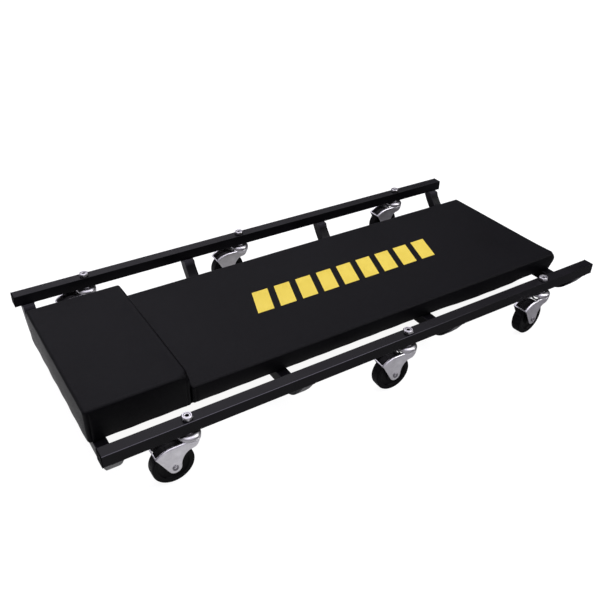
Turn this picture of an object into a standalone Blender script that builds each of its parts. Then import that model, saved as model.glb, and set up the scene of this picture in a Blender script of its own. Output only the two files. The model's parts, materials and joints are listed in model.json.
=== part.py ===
"""Mechanics creeper: a low upholstered board on a tube frame with six swivel casters.

Frame of the model, in metres: +X runs from the headrest to the foot end, +Z is up, the floor is z = 0
and the origin is under the middle of the frame. "near" is the -Y side and "far" is the +Y side.
"""

import math

import bmesh
import bpy
from mathutils import Matrix, Vector

# Driving dimensions, in metres and radians.
GAP = 0.0003  # kept between pieces that touch
LENGTH = 0.9144  # over the end plugs: 36 in
FRAME_WIDTH = 0.429  # over the rails' outer faces

TUBE = 0.019  # square tube of the rails and cross members: 3/4 in
TUBE_WALL = 0.0015
TUBE_CORNER = 0.0028
RAIL_TOP = 0.0955
PLUG_FLANGE = 0.0012
PLUG_DEPTH = 0.012
PLUG_CORNER = 0.0024

CROSS_OUTER_X = 0.4365  # the end cross members, from the middle of the frame
CROSS_MEMBER_X = (-CROSS_OUTER_X, -0.1495, 0.1415, CROSS_OUTER_X)
CROSS_TOP = 0.048  # upper face of a cross member's level run
CROSS_LEG_ANGLE = math.radians(50)
CROSS_LEG_INSET = 0.0110  # a leg's centre line under the rail, from the rail's outer face
CROSS_BEND_RADIUS = 0.034  # to the tube's centre line
BEND_STEPS = 3

BOARD_THICKNESS = 0.009
BOARD_HALF_WIDTH = 0.122
BOARD_HEAD_X = -0.446
BOARD_FOOT_X = 0.444
PAD_BOTTOM = CROSS_TOP + GAP
MAIN_PAD_HEAD_X = -0.2992
MAIN_PAD_FOOT_X = 0.4540
MAIN_PAD_HALF_WIDTH = 0.1365
MAIN_PAD_TOP = 0.0795
HEADREST_HEAD_X = -0.4525
HEADREST_HALF_WIDTH = 0.137
HEADREST_TOP = 0.1045
PAD_EDGE = 0.003  # rounding of the top edges
PAD_CORNER = 0.006  # rounding of the upright corners
PAD_SIDE_TUCK = 0.0025

SCREW_Y = 0.085
SCREW_RADIUS = 0.0022
SCREW_HEAD_RADIUS = 0.0052
SCREW_HEAD_HEIGHT = 0.003
SCREW_GRIP = 0.0075  # length in the board

CASTER_END_X = 0.337  # stems of the end casters, from the middle of the frame
NEAR_MIDDLE_X = 0.0350  # the middle stems stand off centre, towards the foot on the near rail
FAR_MIDDLE_X = -0.0385
WHEEL_RADIUS = 0.031
WHEEL_FACETS = 24
TRAIL = 0.027  # from the swivel axis back to the axle
AXLE_Z = WHEEL_RADIUS * math.cos(math.pi / WHEEL_FACETS)  # a facet lies flat on the floor
TREAD_HALF_WIDTH = 0.0085
HUB_HALF_LENGTH = 0.0115
HUB_RADIUS = 0.0075
HUB_BORE = 0.00415
AXLE_RADIUS = 0.0038
AXLE_BORE = 0.0022
AXLE_HEAD_RADIUS = 0.005
AXLE_HEAD_HEIGHT = 0.0013

FORK_HALF_WIDTH = 0.014  # over the outer faces of the legs
FORK_SHEET = 0.002
FORK_OPENING_HALF_WIDTH = 0.0095  # between the flanges folded in from the legs
FORK_RIM_RADIUS = 0.036  # the legs' upper edge, about the axle
FORK_REAR_ANGLE = math.radians(136.5)  # where that edge ends, about the axle from the front
FORK_STRIP = 0.0015  # level width of the strip that joins the flanges behind the wheel
FORK_BOSS_RADIUS = 0.0095
FORK_FRONT_Z = 0.0537  # the legs' front lower edge, under the swivel axis
CROWN_TOP = 0.0668
CROWN_RADIUS = 0.0168
CROWN_HOLE = 0.0054

STEM_RADIUS = 0.0047  # 3/8 in thread
STEM_TOP = 0.1010
STEM_HOLE = 0.0053  # radius of the rails' holes
SOCKET_RADIUS = 0.0024  # blind hole in the stem's top
SOCKET_DEPTH = 0.004
SHANK_RADIUS = 0.0049
SHOULDER_RADIUS = 0.0075
CAP_RADIUS = 0.017
CAP_BOTTOM = 0.0674
CAP_TOP = 0.0740
CAP_SHEET = 0.0014

NUT_ACROSS_FLATS = 0.0143
NUT_HEIGHT = 0.0056
NUT_CHAMFER = 0.0010
NUT_BORE = 0.0050

# Worked out from the driving dimensions.
RAIL_BOTTOM = RAIL_TOP - TUBE
RAIL_Y = (FRAME_WIDTH - TUBE) / 2
TUBE_HALF_LENGTH = LENGTH / 2 - PLUG_FLANGE - GAP
CROSS_BOTTOM = CROSS_TOP - TUBE
BOARD_TOP = PAD_BOTTOM + BOARD_THICKNESS
NUT_BOTTOM = RAIL_TOP + GAP

# name: (x, side, how far the fork is turned from straight back)
CASTERS = {
    "near_head": (-CASTER_END_X, -1, math.radians(-0.7)),
    "near_middle": (NEAR_MIDDLE_X, -1, math.radians(-1.8)),
    "near_foot": (CASTER_END_X, -1, math.radians(6.1)),
    "far_head": (-CASTER_END_X, 1, math.radians(1.0)),
    "far_middle": (FAR_MIDDLE_X, 1, math.radians(-1.5)),
    "far_foot": (CASTER_END_X, 1, math.radians(2.0)),
}


# Materials

def material(name, color, roughness, metallic=0.0):
    made = bpy.data.materials.new(name)
    made.use_nodes = True
    shader = made.node_tree.nodes["Principled BSDF"]
    shader.inputs["Base Color"].default_value = (*color, 1.0)
    shader.inputs["Roughness"].default_value = roughness
    shader.inputs["Metallic"].default_value = metallic
    return made


def all_materials():
    return {
        "powder_coat": material("powder_coat", (0.016, 0.015, 0.019), 0.38),
        "vinyl": material("vinyl", (0.014, 0.013, 0.016), 0.45),
        "plywood": material("plywood", (0.50, 0.34, 0.19), 0.70),
        "zinc": material("zinc", (0.62, 0.61, 0.63), 0.32, 1.0),
        "chrome": material("chrome", (0.78, 0.78, 0.80), 0.10, 1.0),
        "tyre": material("tyre", (0.010, 0.010, 0.012), 0.50),
        "nylon": material("nylon", (0.035, 0.035, 0.038), 0.50),
        "plug": material("plug", (0.020, 0.020, 0.023), 0.50),
        "steel": material("steel", (0.55, 0.55, 0.57), 0.35, 1.0),
    }


# Mesh helpers

def loft(rings, closed=False):
    """A closed mesh through rings of equally many points. closed joins the last ring to the first one."""
    built = bmesh.new()
    loops = [[built.verts.new(point) for point in ring] for ring in rings]
    pairs = list(zip(loops, loops[1:]))
    if closed:
        pairs.append((loops[-1], loops[0]))
    for below, above in pairs:
        for i in range(len(below)):
            j = (i + 1) % len(below)
            built.faces.new((below[i], below[j], above[j], above[i]))
    if not closed:
        built.faces.new(loops[0])
        built.faces.new(loops[-1])
    bmesh.ops.recalc_face_normals(built, faces=built.faces)
    return built


def circle(radius, z, count, squash=None):
    """A level ring about +Z, which starts half a facet from +X."""
    points = []
    for i in range(count):
        angle = 2 * math.pi * (i + 0.5) / count
        reach = radius if squash is None else squash(angle)
        points.append(Vector((reach * math.cos(angle), reach * math.sin(angle), z)))
    return points


def turned(profile, count, closed):
    """A round solid about +Z from (radius, height) points."""
    return loft([circle(radius, z, count) for radius, z in profile], closed)


def prism(outline, low, high):
    """A solid from (x, z) points, between two values of y."""
    return loft([[Vector((x, y, z)) for x, z in outline] for y in (low, high)])


def box(low, high):
    outline = ((low[0], low[2]), (high[0], low[2]), (high[0], high[2]), (low[0], high[2]))
    return prism(outline, low[1], high[1])


def arc(centre, radius, start, end, steps):
    angles = [start + (end - start) * i / steps for i in range(steps + 1)]
    return [(centre[0] + radius * math.cos(a), centre[1] + radius * math.sin(a)) for a in angles]


def round_rectangle(half_u, half_v, corner, steps):
    """(u, v) points of a rectangle with rounded corners about the origin, anticlockwise."""
    points = []
    for quarter, (side_u, side_v) in enumerate(((1, 1), (-1, 1), (-1, -1), (1, -1))):
        centre = (side_u * (half_u - corner), side_v * (half_v - corner))
        start = quarter * math.pi / 2
        points += arc(centre, corner, start, start + math.pi / 2, steps)
    return points


def combined(first, second, operation):
    """The Boolean of two bmeshes, both of which it uses up."""
    objects = []
    for built in (first, second):
        mesh = bpy.data.meshes.new("operand")
        built.to_mesh(mesh)
        built.free()
        made = bpy.data.objects.new("operand", mesh)
        bpy.context.scene.collection.objects.link(made)
        objects.append(made)
    modifier = objects[0].modifiers.new("combine", "BOOLEAN")
    modifier.object = objects[1]
    modifier.operation = operation
    graph = bpy.context.evaluated_depsgraph_get()
    result = bmesh.new()
    result.from_object(objects[0], graph)
    for made in objects:
        mesh = made.data
        bpy.data.objects.remove(made)
        bpy.data.meshes.remove(mesh)
    return result


def without(first, *cutters):
    for cutter in cutters:
        first = combined(first, cutter, "DIFFERENCE")
    return first


def joined(first, *others):
    for other in others:
        first = combined(first, other, "UNION")
    return first


def moved(built, matrix):
    bmesh.ops.transform(built, matrix=matrix, verts=built.verts)
    return built


def mesh_of(name, built, finish):
    mesh = bpy.data.meshes.new(name)
    built.to_mesh(mesh)
    built.free()
    mesh.materials.append(finish)
    mesh.shade_smooth()
    mesh.set_sharp_from_angle(angle=math.radians(35))
    return mesh


def place(name, mesh, location=(0, 0, 0), parent=None):
    made = bpy.data.objects.new(name, mesh)
    made.location = location
    made.parent = parent
    bpy.context.scene.collection.objects.link(made)
    return made


def empty(name, location, yaw=0.0, parent=None):
    made = place(name, None, location, parent)
    made.rotation_euler = (0, 0, yaw)
    made.empty_display_size = 0.02
    return made


# Frame

def tube_section(inset):
    return round_rectangle(TUBE / 2 - inset, TUBE / 2 - inset, TUBE_CORNER - inset * 0.6, 1)


def hollow(stations):
    """A hollow tube. A station gives its section's centre, and the directions of u and v there."""
    rings = []
    for inset, order in ((0.0, stations), (TUBE_WALL, stations[::-1])):
        section = tube_section(inset)
        for centre, along_u, along_v in order:
            rings.append([centre + along_u * u + along_v * v for u, v in section])
    return loft(rings, closed=True)


def drill(x, y, low, high, radius):
    return moved(turned(((radius, low), (radius, high)), 12, False), Matrix.Translation((x, y, 0)))


def rail_mesh(side, finish):
    """A rail. The far one is the same tube turned end for end, so its middle hole lies the other way."""
    centre_z = RAIL_TOP - TUBE / 2
    ends = [
        (Vector((x, side * RAIL_Y, centre_z)), Vector((0, 1, 0)), Vector((0, 0, 1)))
        for x in (-TUBE_HALF_LENGTH, TUBE_HALF_LENGTH)
    ]
    stems = [x for x, caster_side, _ in CASTERS.values() if caster_side == side]
    holes = [
        drill(x, side * RAIL_Y, RAIL_BOTTOM - TUBE / 2, RAIL_TOP + TUBE / 2, STEM_HOLE)
        for x in stems
    ]
    return mesh_of("rail", without(hollow(ends), *holes), finish)


def end_plug_mesh(finish):
    """A plug for a rail's +X end, from the face of the tube: a flange outside and a stub inside."""
    bore = TUBE / 2 - TUBE_WALL - GAP
    shapes = (
        (-PLUG_DEPTH, bore - 0.0008, PLUG_CORNER),
        (-0.002, bore, PLUG_CORNER),
        (GAP, bore, PLUG_CORNER),
        (GAP, TUBE / 2, TUBE_CORNER),
        (GAP + PLUG_FLANGE * 0.4, TUBE / 2, TUBE_CORNER),
        (GAP + PLUG_FLANGE, TUBE / 2 - 0.001, TUBE_CORNER),
    )
    rings = [
        [Vector((x, u, v)) for u, v in round_rectangle(half, half, corner, 1)]
        for x, half, corner in shapes
    ]
    return mesh_of("end_plug", loft(rings), finish)


def cross_member_path():
    """(centre, normal) pairs in the YZ plane, from the near rail's underside to the middle."""
    slope = CROSS_LEG_ANGLE
    end = Vector((-FRAME_WIDTH / 2 + CROSS_LEG_INSET, RAIL_BOTTOM - GAP))
    level = CROSS_TOP - TUBE / 2
    corner = Vector((end.x + (end.y - level) / math.tan(slope), level))
    tangent = CROSS_BEND_RADIUS * math.tan(slope / 2)
    # The tube's end is cut level against the rail, so its section is stretched along Y there.
    path = [(end, Vector((1 / math.sin(slope), 0)))]
    centre = corner + Vector((tangent, CROSS_BEND_RADIUS))
    for step in range(BEND_STEPS + 1):
        turn = slope * (1 - step / BEND_STEPS)
        normal = Vector((math.sin(turn), math.cos(turn)))
        path.append((centre - normal * CROSS_BEND_RADIUS, normal))
    return path


def cross_member_mesh(finish):
    """A square tube bent to a shallow U, with a level run under the pad and its ends under the rails."""
    near = cross_member_path()
    far = [(Vector((-point.x, point.y)), Vector((-normal.x, normal.y))) for point, normal in near]
    stations = [
        (Vector((0, *point)), Vector((1, 0, 0)), Vector((0, *normal)))
        for point, normal in near + far[::-1]
    ]
    holes = [
        drill(0, y, CROSS_BOTTOM - TUBE / 2, CROSS_TOP + TUBE / 2, SCREW_RADIUS + 2 * GAP)
        for y in (-SCREW_Y, SCREW_Y)
    ]
    return mesh_of("cross_member", without(hollow(stations), *holes), finish)


def make_frame(finishes):
    for name, side in (("near", -1), ("far", 1)):
        place(f"rail_{name}", rail_mesh(side, finishes["powder_coat"]))
    plug = end_plug_mesh(finishes["plug"])
    for side_name, side in (("near", -1), ("far", 1)):
        for end_name, end in (("head", -1), ("foot", 1)):
            spot = (end * TUBE_HALF_LENGTH, side * RAIL_Y, RAIL_TOP - TUBE / 2)
            made = place(f"end_plug_{side_name}_{end_name}", plug, spot)
            made.rotation_euler.z = math.pi if end < 0 else 0.0
    member = cross_member_mesh(finishes["powder_coat"])
    for number, x in enumerate(CROSS_MEMBER_X, 1):
        place(f"cross_member_{number}", member, (x, 0, 0))


# Board and cushions

def level_ring(x_low, x_high, half_width, corner, z, steps=3):
    middle = (x_low + x_high) / 2
    outline = round_rectangle((x_high - x_low) / 2, half_width, corner, steps)
    return [Vector((middle + u, v, z)) for u, v in outline]


def base_board_mesh(finish):
    rings = [
        level_ring(BOARD_HEAD_X, BOARD_FOOT_X, BOARD_HALF_WIDTH, 0.012, z)
        for z in (PAD_BOTTOM, BOARD_TOP)
    ]
    holes = [
        drill(x, y, PAD_BOTTOM - 0.005, PAD_BOTTOM + SCREW_GRIP + 0.001, SCREW_RADIUS + GAP)
        for x in (-CROSS_OUTER_X, CROSS_OUTER_X)
        for y in (-SCREW_Y, SCREW_Y)
    ]
    return mesh_of("base_board", without(loft(rings), *holes), finish)


def cushion_mesh(name, head_x, foot_x, half_width, top, head_tuck, foot_tuck, pocket, finish):
    """Foam in its cover: rounded edges, a lower edge tucked in, and a pocket below for the board."""
    shapes = (
        (PAD_BOTTOM, head_tuck, foot_tuck, PAD_SIDE_TUCK),
        (PAD_BOTTOM + 0.0025, head_tuck * 0.4, foot_tuck * 0.55, 0.0),
        (PAD_BOTTOM + 0.008, 0.0, foot_tuck * 0.15, 0.0),
        (top - PAD_EDGE, 0.0, 0.0, 0.0),
        (top - PAD_EDGE * 0.3, PAD_EDGE * 0.3, PAD_EDGE * 0.3, PAD_EDGE * 0.3),
        (top, PAD_EDGE, PAD_EDGE, PAD_EDGE),
    )
    rings = [
        level_ring(head_x + head, foot_x - foot, half_width - side, PAD_CORNER, z)
        for z, head, foot, side in shapes
    ]
    cutter = box(
        (pocket[0], -BOARD_HALF_WIDTH - GAP, PAD_BOTTOM - 0.01),
        (pocket[1], BOARD_HALF_WIDTH + GAP, BOARD_TOP + GAP),
    )
    return mesh_of(name, without(loft(rings), cutter), finish)


def make_pad(finishes):
    place("base_board", base_board_mesh(finishes["plywood"]))
    past_joint = 0.03
    main = cushion_mesh(
        "main_cushion", MAIN_PAD_HEAD_X, MAIN_PAD_FOOT_X, MAIN_PAD_HALF_WIDTH, MAIN_PAD_TOP,
        0.0, 0.006, (MAIN_PAD_HEAD_X - past_joint, BOARD_FOOT_X + GAP), finishes["vinyl"],
    )
    place("main_cushion", main)
    headrest = cushion_mesh(
        "headrest_cushion", HEADREST_HEAD_X, MAIN_PAD_HEAD_X - GAP, HEADREST_HALF_WIDTH, HEADREST_TOP,
        0.001, 0.0, (BOARD_HEAD_X - GAP, MAIN_PAD_HEAD_X + past_joint), finishes["vinyl"],
    )
    place("headrest_cushion", headrest)


def pad_screw_mesh(finish):
    """A screw from below: its head is under the cross member and its point is in the board."""
    head_top = CROSS_BOTTOM - GAP
    profile = (
        (SCREW_HEAD_RADIUS * 0.6, head_top - SCREW_HEAD_HEIGHT),
        (SCREW_HEAD_RADIUS, head_top - SCREW_HEAD_HEIGHT * 0.5),
        (SCREW_HEAD_RADIUS, head_top),
        (SCREW_RADIUS, head_top),
        (SCREW_RADIUS, PAD_BOTTOM + SCREW_GRIP - 0.002),
        (SCREW_RADIUS * 0.4, PAD_BOTTOM + SCREW_GRIP),
    )
    return mesh_of("pad_screw", turned(profile, 10, False), finish)


def make_pad_screws(finishes):
    """The screws of the two end cross members. The inner two have the same."""
    mesh = pad_screw_mesh(finishes["steel"])
    for end_name, x in (("head", -CROSS_OUTER_X), ("foot", CROSS_OUTER_X)):
        for side_name, y in (("near", -SCREW_Y), ("far", SCREW_Y)):
            place(f"pad_screw_{end_name}_{side_name}", mesh, (x, y, 0))


# Caster

def lock_nut_mesh(finish):
    """A thin hexagon nut with chamfered corners, with its bore about +Z."""
    flat = NUT_ACROSS_FLATS / 2
    top = NUT_BOTTOM + NUT_HEIGHT

    def hexagon(angle):
        return flat / math.cos((angle + math.pi / 12) % (math.pi / 3) - math.pi / 6)

    rings = [
        circle(flat, NUT_BOTTOM, 12, hexagon),
        circle(flat, top - NUT_CHAMFER, 12, hexagon),
        circle(flat - NUT_CHAMFER * 0.4, top, 12),
        circle(NUT_BORE, top, 12),
        circle(NUT_BORE, NUT_BOTTOM, 12),
    ]
    return mesh_of("lock_nut", loft(rings, closed=True), finish)


def kingpin_mesh(finish):
    """Threaded stem with a socket in its top, the shoulder under the rail, and the riveted lower end."""
    under_crown = CROWN_TOP - FORK_SHEET - GAP
    profile = (
        (SHANK_RADIUS, under_crown - 0.0045),
        (SHOULDER_RADIUS, under_crown - 0.0030),
        (SHOULDER_RADIUS, under_crown),
        (SHANK_RADIUS, under_crown),
        (SHANK_RADIUS, CAP_TOP + GAP),
        (SHOULDER_RADIUS, CAP_TOP + GAP),
        (SHOULDER_RADIUS, RAIL_BOTTOM - GAP),
        (STEM_RADIUS, RAIL_BOTTOM - GAP),
        (STEM_RADIUS, STEM_TOP),
        (SOCKET_RADIUS, STEM_TOP),
        (SOCKET_RADIUS, STEM_TOP - SOCKET_DEPTH),
    )
    return mesh_of("kingpin", turned(profile, 12, False), finish)


def race_cap_mesh(finish):
    """The domed upper ball race: a pressed shell, open below."""
    bore = SHANK_RADIUS + 2 * GAP
    profile = (
        (CAP_RADIUS, CAP_BOTTOM),
        (CAP_RADIUS, CAP_BOTTOM + 0.0018),
        (CAP_RADIUS * 0.86, CAP_BOTTOM + 0.0046),
        (CAP_RADIUS * 0.52, CAP_TOP),
        (bore, CAP_TOP),
        (bore, CAP_TOP - CAP_SHEET),
        (CAP_RADIUS * 0.50, CAP_TOP - CAP_SHEET),
        (CAP_RADIUS - CAP_SHEET, CAP_BOTTOM),
    )
    return mesh_of("race_cap", turned(profile, 16, True), finish)


def leg_outline():
    """(x, z) of a fork leg: level top, round upper rear edge, rear corner, axle boss and hollow front."""
    axle = (-TRAIL, AXLE_Z)
    rear = (
        axle[0] + FORK_RIM_RADIUS * math.cos(FORK_REAR_ANGLE),
        axle[1] + FORK_RIM_RADIUS * math.sin(FORK_REAR_ANGLE),
    )
    away = math.hypot(rear[0] - axle[0], rear[1] - axle[1])
    # The straight rear edge leaves the rear corner and meets the boss at a tangent.
    tangent = math.atan2(rear[1] - axle[1], rear[0] - axle[0]) + math.acos(FORK_BOSS_RADIUS / away)
    points = [(0.0085, CROWN_TOP)]
    points += arc(axle, FORK_RIM_RADIUS, math.radians(90), FORK_REAR_ANGLE, 4)
    points += arc(axle, FORK_BOSS_RADIUS, tangent, math.radians(360), 5)
    reach = (FORK_BOSS_RADIUS - TRAIL, FORK_FRONT_Z - AXLE_Z)
    for step in (1, 2, 3):
        turn = math.pi / 2 * step / 3
        points.append((reach[0] * math.cos(turn), AXLE_Z + reach[1] * math.sin(turn)))
    points.append((0.0050, 0.0560))
    return points


def fork_rim():
    """The flange folded in over the wheel along the upper edge of both legs, joined behind the wheel."""
    axle = (-TRAIL, AXLE_Z)
    start = math.radians(74)
    outer = arc(axle, FORK_RIM_RADIUS, start, FORK_REAR_ANGLE, 5)
    inner = arc(axle, FORK_RIM_RADIUS - FORK_SHEET, FORK_REAR_ANGLE, start, 5)
    band = prism(outer + inner, -FORK_HALF_WIDTH, FORK_HALF_WIDTH)
    strip_x = axle[0] + (FORK_RIM_RADIUS - FORK_SHEET) * math.cos(FORK_REAR_ANGLE) + FORK_STRIP
    opening = FORK_OPENING_HALF_WIDTH
    return without(band, box((strip_x, -opening, 0.03), (0.02, opening, 0.09)))


def crown():
    """The bowl under the race: a plate with a skirt that draws in below."""
    sheet = FORK_SHEET
    inside = FORK_HALF_WIDTH - sheet
    profile = (
        (CROWN_HOLE, CROWN_TOP),
        (CROWN_RADIUS, CROWN_TOP),
        (CROWN_RADIUS - 0.0018, 0.0615),
        (0.0105, 0.0568),
        (0.0090, 0.0584),
        (inside, CROWN_TOP - sheet),
        (CROWN_HOLE, CROWN_TOP - sheet),
    )
    bowl = turned(profile, 16, True)
    rear = box((-0.03, -inside, 0.04), (-0.0035, inside, CROWN_TOP - sheet))
    mouth = box((-0.03, -inside, 0.04), (-0.0125, inside, 0.09))
    return without(bowl, rear, mouth)


def fork_mesh(finish):
    """The stamped yoke, with its swivel axis at the origin, the floor at z = 0 and the wheel at -X."""
    inside = FORK_HALF_WIDTH - FORK_SHEET
    legs = []
    for side in (-1, 1):
        low, high = sorted((side * inside, side * FORK_HALF_WIDTH))
        leg = prism(leg_outline(), low, high)
        hole = turned(((AXLE_RADIUS + GAP, -0.03), (AXLE_RADIUS + GAP, 0.03)), 10, False)
        across = Matrix.Translation((-TRAIL, 0, AXLE_Z)) @ Matrix.Rotation(math.pi / 2, 4, "X")
        legs.append(without(leg, moved(hole, across)))
    room = turned(((0.0080, 0.055), (0.0080, CROWN_TOP - FORK_SHEET)), 12, False)
    return mesh_of("fork", without(joined(crown(), legs[0], legs[1], fork_rim()), room), finish)


def across_axle(built):
    """Turns a solid made about +Z to lie about +Y."""
    return moved(built, Matrix.Rotation(-math.pi / 2, 4, "X"))


def axle_mesh(finish):
    """A tube rivet along Y, with its two rolled heads outside the legs."""
    head = FORK_HALF_WIDTH + GAP
    end = head + AXLE_HEAD_HEIGHT
    profile = (
        (AXLE_BORE, -end),
        (AXLE_HEAD_RADIUS, -end),
        (AXLE_HEAD_RADIUS, -head),
        (AXLE_RADIUS, -head),
        (AXLE_RADIUS, head),
        (AXLE_HEAD_RADIUS, head),
        (AXLE_HEAD_RADIUS, end),
        (AXLE_BORE, end),
    )
    return mesh_of("axle", across_axle(turned(profile, 10, True)), finish)


def wheel_hub_mesh(finish):
    profile = (
        (HUB_BORE, -HUB_HALF_LENGTH),
        (HUB_RADIUS, -HUB_HALF_LENGTH),
        (HUB_RADIUS, HUB_HALF_LENGTH),
        (HUB_BORE, HUB_HALF_LENGTH),
    )
    return mesh_of("wheel_hub", across_axle(turned(profile, 12, True)), finish)


def tyre_mesh(finish):
    """Hard wheel body: a flat tread, a raised rim and a dished side. A facet of it lies on the floor."""
    half = (
        (HUB_RADIUS + GAP, TREAD_HALF_WIDTH),
        (0.0225, 0.0068),
        (0.0245, TREAD_HALF_WIDTH),
        (WHEEL_RADIUS - 0.0015, TREAD_HALF_WIDTH),
        (WHEEL_RADIUS, TREAD_HALF_WIDTH - 0.0018),
    )
    profile = list(half) + [(radius, -y) for radius, y in half[::-1]]
    return mesh_of("tyre", across_axle(turned(profile, WHEEL_FACETS, True)), finish)


def make_casters(finishes):
    nut = lock_nut_mesh(finishes["zinc"])
    pin = kingpin_mesh(finishes["zinc"])
    cap = race_cap_mesh(finishes["chrome"])
    fork = fork_mesh(finishes["zinc"])
    axle = axle_mesh(finishes["steel"])
    hub = wheel_hub_mesh(finishes["nylon"])
    tyre = tyre_mesh(finishes["tyre"])
    for name, (x, side, yaw) in CASTERS.items():
        stem = (x, side * RAIL_Y, 0)
        place(f"lock_nut_{name}", nut, stem)
        place(f"kingpin_{name}", pin, stem)
        place(f"race_cap_{name}", cap, stem)
        swivel = empty(f"swivel_{name}", stem, yaw)
        place(f"fork_{name}", fork, parent=swivel)
        wheel = empty(f"wheel_{name}", (-TRAIL, 0, AXLE_Z), parent=swivel)
        place(f"axle_{name}", axle, parent=wheel)
        place(f"wheel_hub_{name}", hub, parent=wheel)
        place(f"tyre_{name}", tyre, parent=wheel)


def main():
    for old in list(bpy.data.objects):
        bpy.data.objects.remove(old)
    bpy.context.scene.unit_settings.scale_length = 1.0
    finishes = all_materials()
    make_frame(finishes)
    make_pad(finishes)
    make_pad_screws(finishes)
    make_casters(finishes)


main()
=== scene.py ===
"""Mechanics creeper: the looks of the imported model, its floor, lights and camera.

Lengths are in metres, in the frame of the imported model: +X runs from the headrest to the foot end,
-Y is the near side, +Z is up and the floor is z = 0.
"""

import json
import math

import bmesh
import bpy
import numpy as np
from mathutils import Matrix, Vector, noise
from mathutils.bvhtree import BVHTree


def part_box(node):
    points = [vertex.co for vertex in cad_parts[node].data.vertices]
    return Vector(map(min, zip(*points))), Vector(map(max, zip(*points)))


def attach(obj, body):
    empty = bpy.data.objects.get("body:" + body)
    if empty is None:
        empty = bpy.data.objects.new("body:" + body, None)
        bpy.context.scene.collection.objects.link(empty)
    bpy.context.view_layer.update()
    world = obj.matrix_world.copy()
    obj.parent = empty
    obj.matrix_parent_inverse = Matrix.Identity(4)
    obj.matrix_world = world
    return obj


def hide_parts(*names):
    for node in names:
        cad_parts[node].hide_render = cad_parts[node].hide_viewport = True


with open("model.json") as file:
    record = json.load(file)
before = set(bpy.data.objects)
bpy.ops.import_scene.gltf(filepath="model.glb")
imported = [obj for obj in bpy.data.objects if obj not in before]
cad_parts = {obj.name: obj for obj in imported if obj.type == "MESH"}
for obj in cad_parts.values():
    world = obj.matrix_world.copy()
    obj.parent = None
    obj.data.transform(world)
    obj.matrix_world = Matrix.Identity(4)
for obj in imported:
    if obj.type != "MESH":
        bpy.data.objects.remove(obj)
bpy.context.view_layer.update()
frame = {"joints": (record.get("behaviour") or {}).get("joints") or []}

SIDES = (("near", -1), ("far", 1))
ENDS = (("head", -1), ("foot", 1))
MEMBERS = (1, 2, 3, 4)
CASTERS = ("near_head", "near_middle", "near_foot", "far_head", "far_middle", "far_foot")

# Camera: where it stands, its rotation in degrees, its lens and its sensor's width in millimetres.
CAMERA_PLACE = (-0.59978, -0.86502, 0.74860)
CAMERA_TURN = (56.3532, -1.2980, -32.4676)
CAMERA_LENS = 43.268
CAMERA_SENSOR = 36.0
FLOOR_GLOW = 0.92

# Square tube of the rails and cross members. A cross member's leg leaves the rail at LEG_ANGLE to the floor.
TUBE = 0.019
TUBE_CORNER = 0.0010
PLUG_PROUD = 0.0004
CORNER_STEPS = 4
CORNER_MARGIN = 0.0006
LEG_ANGLE = math.radians(50)
LEG_SET_IN = 0.0035
BEND_RADIUS = 0.034
BEND_STEPS = 14
BEND_PINCH = 0.0007
WELD_RADIUS = 0.0014

# Upholstery.
EDGE_PLAN = 0.0050
EDGE_TOP = 0.0040
EDGE_BOTTOM = 0.0035
RIM_WIDTH = 0.0142
CROWN_RISE = 0.0022
SIDE_SWELL = 0.0014
FOLD_DEPTH = 0.0007
PAD_GAP = 0.0003
CLOTH_FRAMES = 20
STAPLE_PITCH = 0.046
TUCK_DEPTH = 0.0125
TUCK_REACH = 0.032
CORNER_PUSH = 0.0026
SAG_OUT = 0.0018
SAG_DOWN = 0.0014
SAG_WIDTH = 0.016
SAG_START = (0.17, 0.24)
SAG_END = (0.335, 0.375)

# Caster.
SHEET = 0.002
FORK_HALF_WIDTH = 0.014
RIM_RADIUS = 0.036
FOLD_RADIUS = 0.0026
OPENING_HALF_WIDTH = 0.0095
REAR_ANGLE = math.radians(136.5)
REAR_STRIP = 0.0019
BOSS_RADIUS = 0.0095
CROWN_RADIUS = 0.0168
FORK_VOXEL = 0.00055


# Mesh helpers

def loft(rings, closed=False):
    """A closed mesh through rings of equally many points. closed joins the last ring to the first one."""
    built = bmesh.new()
    loops = [[built.verts.new(point) for point in ring] for ring in rings]
    pairs = list(zip(loops, loops[1:]))
    if closed:
        pairs.append((loops[-1], loops[0]))
    for below, above in pairs:
        for i in range(len(below)):
            j = (i + 1) % len(below)
            built.faces.new((below[i], below[j], above[j], above[i]))
    if not closed:
        built.faces.new(loops[0])
        built.faces.new(loops[-1])
    bmesh.ops.recalc_face_normals(built, faces=built.faces)
    return built


def spaced(start, end, steps):
    """The values at equal steps from start to end, both included."""
    return [start + (end - start) * i / steps for i in range(steps + 1)]


def quarter(steps):
    """(cosine, sine) at equal steps of a quarter turn."""
    return [(math.cos(angle), math.sin(angle)) for angle in spaced(0, math.pi / 2, steps)]


def neighbours(points):
    """Each point of a closed outline with the next one."""
    return zip(points, points[1:] + points[:1])


def ring(reach, z, count):
    """A level ring of points about +Z. reach(angle) is how far out the point at an angle is."""
    angles = spaced(0, 2 * math.pi, count)[:-1]
    return [Vector((reach(a) * math.cos(a), reach(a) * math.sin(a), z)) for a in angles]


def turned(profile, count, closed=False):
    """A round solid about +Z from (radius, height) points."""
    return loft([ring(lambda _: radius, z, count) for radius, z in profile], closed)


def prism(outline, low, high):
    """A solid from (x, z) points, between two values of y."""
    return loft([[Vector((x, y, z)) for x, z in outline] for y in (low, high)])


def arc(centre, radius, start, end, steps):
    return [(centre[0] + radius * math.cos(a), centre[1] + radius * math.sin(a))
            for a in spaced(start, end, steps)]


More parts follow.
